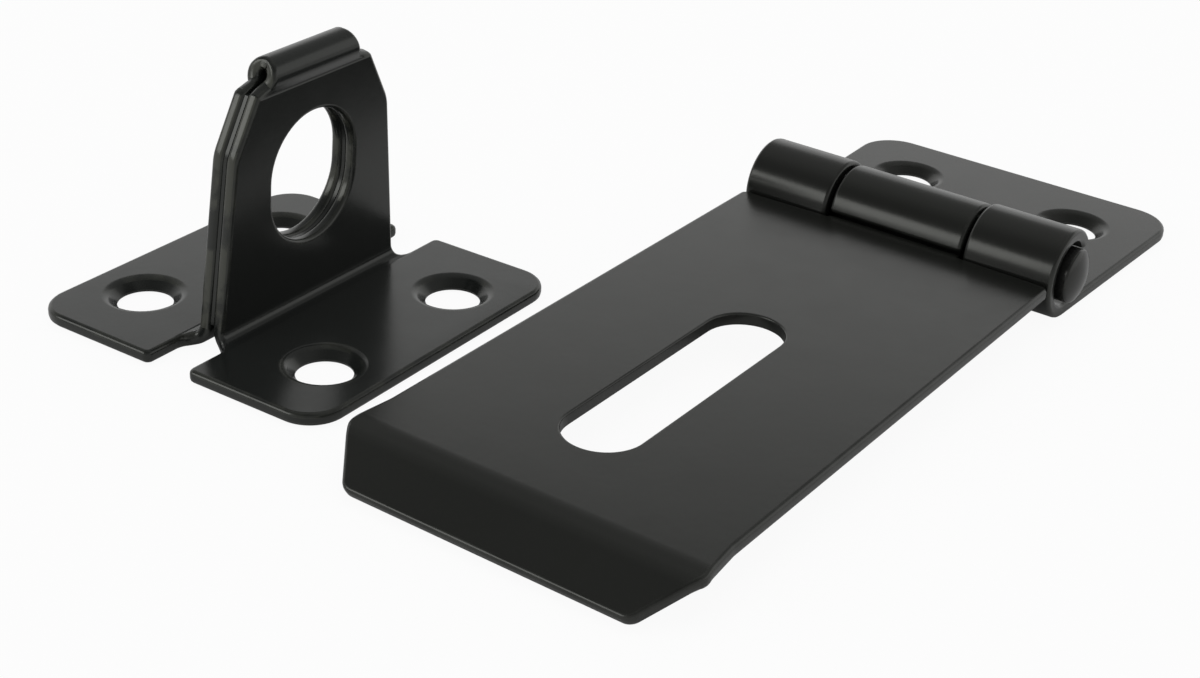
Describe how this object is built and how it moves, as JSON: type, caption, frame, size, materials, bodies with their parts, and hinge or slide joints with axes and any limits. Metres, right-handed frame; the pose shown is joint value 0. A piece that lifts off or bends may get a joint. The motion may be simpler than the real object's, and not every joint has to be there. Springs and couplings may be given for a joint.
{
  "type": "safety hasp and staple",
  "caption": "Black coated steel safety hasp: hinged slotted strap with a folded lip on a countersunk mounting plate, and a separate folded staple with a padlock hole.",
  "frame": {"origin": "on the mounting surface, under the middle of the bounding box of hasp and staple as laid out in the picture", "axes": "+Z away from the mounting surface; +Y from the strap's lip to the mounting plate, square to the hinge pin; +X along the hinge pin, with the staple on the -X side"},
  "size_m": [0.0846, 0.1064, 0.0294],
  "materials": {
    "plate_coating": "satin black coating on steel",
    "pin_coating": "satin black coating on steel",
    "strap_coating": "satin black coating on steel",
    "staple_coating": "satin black coating on steel"
  },
  "bodies": {
    "hinge_plate": {"mounting_plate": "plate_coating", "hinge_pin": "pin_coating", "staple": "staple_coating"},
    "swinging_strap": {"strap": "strap_coating"}
  },
  "joints": [
    {"name": "strap_hinge", "type": "hinge", "parent": "hinge_plate", "child": "swinging_strap", "pos_m": [0.02174, 0.0236, 0.00495], "axis": [-1, 0, 0], "range_deg": [0, 183]}
  ]
}
